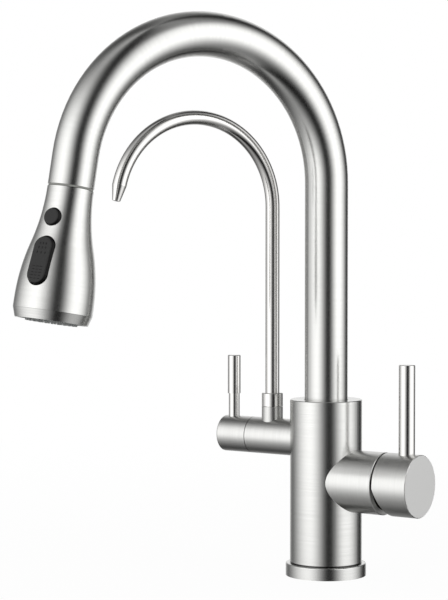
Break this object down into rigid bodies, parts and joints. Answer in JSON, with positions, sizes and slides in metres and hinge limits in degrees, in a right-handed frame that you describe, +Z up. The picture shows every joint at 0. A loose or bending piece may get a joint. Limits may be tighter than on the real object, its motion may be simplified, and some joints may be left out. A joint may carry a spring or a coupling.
{
  "type": "three-way kitchen faucet",
  "caption": "Gooseneck kitchen faucet with a pull-down spray head, a side lever mixer, and a slim filtered-water spout with its own quarter-turn lever valve.",
  "frame": {"origin": "centre of the column at the deck, on the underside of the base flange", "axes": "+Z up along the column, the front of the sink is -Y, the mixer handle is on +X and the filter valve on -X"},
  "size_m": [0.1861, 0.2476, 0.386],
  "materials": {
    "brushed_steel": "fine brushed stainless steel",
    "satin_steel": "smooth satin stainless steel",
    "plain_steel": "turned steel",
    "brass": "machined brass",
    "copper_pipe": "drawn copper pipe",
    "white_plastic": "moulded plastic",
    "dock_plastic": "grey moulded plastic",
    "core_plastic": "black moulded plastic",
    "button_plastic": "charcoal moulded plastic",
    "face_plastic": "grey moulded plastic",
    "nozzle_silicone": "grey silicone",
    "black_rubber": "moulded rubber",
    "hose_sheath": "nylon-braided hose",
    "ceramic": "polished ceramic"
  },
  "bodies": {
    "faucet_body": {"base_flange": "brushed_steel", "base_gasket": "black_rubber", "body_column": "brushed_steel", "mounting_socket": "brass", "water_block": "brass", "supply_pipes": "copper_pipe", "mixed_pipe": "copper_pipe", "filter_pipe": "copper_pipe", "hose_tail": "brass", "swivel_sleeve": "brass", "glide_rings": "white_plastic", "spout_screw": "plain_steel", "mixer_housing": "brushed_steel", "valve_seat": "brass", "seat_seals": "black_rubber", "cartridge_case": "core_plastic", "fixed_disc": "ceramic", "cartridge_nut": "brass", "filter_arm": "brushed_steel", "filter_washer": "black_rubber", "filter_cartridge": "brass", "filter_fixed_disc": "ceramic", "filter_retainer": "plain_steel"},
    "temperature_carrier": {"lever_carrier": "core_plastic", "lever_pin": "plain_steel"},
    "mixing_disc": {"disc_driver": "white_plastic", "moving_disc": "ceramic"},
    "mixer_handle": {"mixer_stem": "brass", "mixer_cap": "brushed_steel", "mixer_lever": "satin_steel", "mixer_screw": "plain_steel", "mixer_plug": "button_plastic"},
    "filter_handle": {"filter_stem": "brass", "filter_moving_disc": "ceramic", "filter_cap": "brushed_steel", "filter_lever": "satin_steel", "filter_screw": "plain_steel"},
    "filter_spout": {"filter_collar": "satin_steel", "filter_o_rings": "black_rubber", "filter_tube": "satin_steel", "filter_tip": "satin_steel"},
    "spout": {"spout_foot": "brass", "spout_tube": "brushed_steel", "dock_ring": "dock_plastic", "spray_hose": "hose_sheath"},
    "hose_end": {"hose_ferrule": "plain_steel", "hose_stem": "brass"},
    "spray_head": {"swivel_nut": "brass", "check_valve": "white_plastic", "head_core": "core_plastic", "head_shell": "brushed_steel", "spray_plate": "face_plastic", "nozzle_mat": "nozzle_silicone", "aerator": "face_plastic", "rocker_pin": "plain_steel"},
    "button": {"round_button": "button_plastic", "button_spring": "plain_steel"},
    "rocker": {"mode_rocker": "button_plastic"},
    "diverter": {"diverter_spool": "core_plastic"}
  },
  "joints": [
    {"name": "spout_swivel", "type": "hinge", "parent": "faucet_body", "child": "spout", "pos_m": [0, 0, 0.1], "axis": [0, 0, 1], "continuous": true},
    {"name": "spray_pull", "type": "slide", "parent": "spout", "child": "hose_end", "axis": [-0.0666, -0.151, -0.9863], "range_m": [0, 0.4], "deforming": ["spray_hose"]},
    {"name": "spray_head_turn", "type": "hinge", "parent": "hose_end", "child": "spray_head", "pos_m": [-0.08033, -0.18214, 0.26724], "axis": [-0.0666, -0.151, -0.9863], "continuous": true},
    {"name": "button_press", "type": "slide", "parent": "spray_head", "child": "button", "axis": [-0.1353, 0.9474, -0.2902], "range_m": [0, 0.002], "stiffness_N_per_m": 700, "springref_m": -0.002, "deforming": ["button_spring"]},
    {"name": "rocker_tilt", "type": "hinge", "parent": "spray_head", "child": "rocker", "pos_m": [-0.08156, -0.2062, 0.22005], "axis": [-0.9897, -0.1154, 0.0845], "range_deg": [-5, 5]},
    {"name": "diverter_slide", "type": "slide", "parent": "spray_head", "child": "diverter", "axis": [-0.0666, -0.151, -0.9863], "range_m": [-0.0013, 0.0013]},
    {"name": "mixer_turn", "type": "hinge", "parent": "faucet_body", "child": "temperature_carrier", "pos_m": [0.043, 0, 0.0669], "axis": [1, 0, 0], "range_deg": [-45, 45]},
    {"name": "mixer_lift", "type": "hinge", "parent": "temperature_carrier", "child": "mixer_handle", "pos_m": [0.0429, 0, 0.0669], "axis": [0, 1, 0], "range_deg": [0, 19]},
    {"name": "mixing_disc_slide", "type": "slide", "parent": "temperature_carrier", "child": "mixing_disc", "axis": [0, 0, 1], "range_m": [0, 0.0021]},
    {"name": "filter_turn", "type": "hinge", "parent": "faucet_body", "child": "filter_handle", "pos_m": [-0.07, 0, 0.0943], "axis": [1, 0, 0], "range_deg": [0, 90]},
    {"name": "filter_swivel", "type": "hinge", "parent": "faucet_body", "child": "filter_spout", "pos_m": [-0.0447, 0, 0.11], "axis": [0, 0, 1], "range_deg": [-150, 45]}
  ],
  "couplings": [
    {"joint": "diverter_slide", "follows": "rocker_tilt", "m_per_rad": 0.013745},
    {"joint": "mixing_disc_slide", "follows": "mixer_lift", "m_per_rad": 0.00615}
  ]
}
